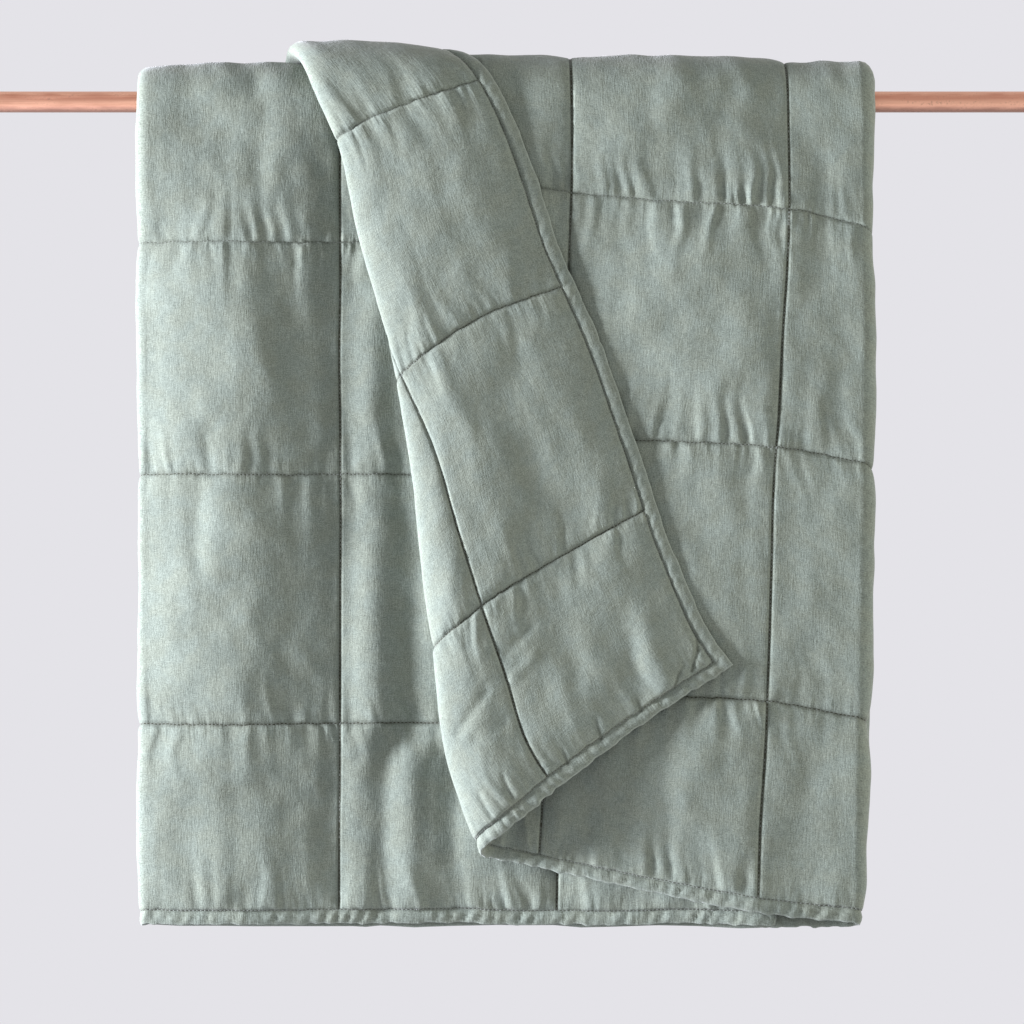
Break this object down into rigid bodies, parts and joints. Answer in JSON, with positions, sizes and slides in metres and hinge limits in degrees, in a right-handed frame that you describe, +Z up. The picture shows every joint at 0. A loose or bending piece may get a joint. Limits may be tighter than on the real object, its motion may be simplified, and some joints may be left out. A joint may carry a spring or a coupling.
{
  "type": "linen quilt on a copper rod",
  "caption": "Quilted linen bed cover sewn in squares, folded like a letter and hung over a round copper rod, its outer layer turned back as a slanted flap.",
  "frame": {"origin": "on the rod's axis at the middle of its length, where what holds the rod is taken to act", "axes": "+X along the rod, to the right as seen from the front; +Y away from the viewer, from the flap's side to the back; +Z up"},
  "size_m": [1.2, 0.1488, 0.9371],
  "materials": {
    "linen": "grey-green plain-woven linen, washed and matt",
    "copper": "bright drawn copper"
  },
  "bodies": {
    "root": {"quilt": "linen", "rod": "copper"}
  },
  "joints": []
}
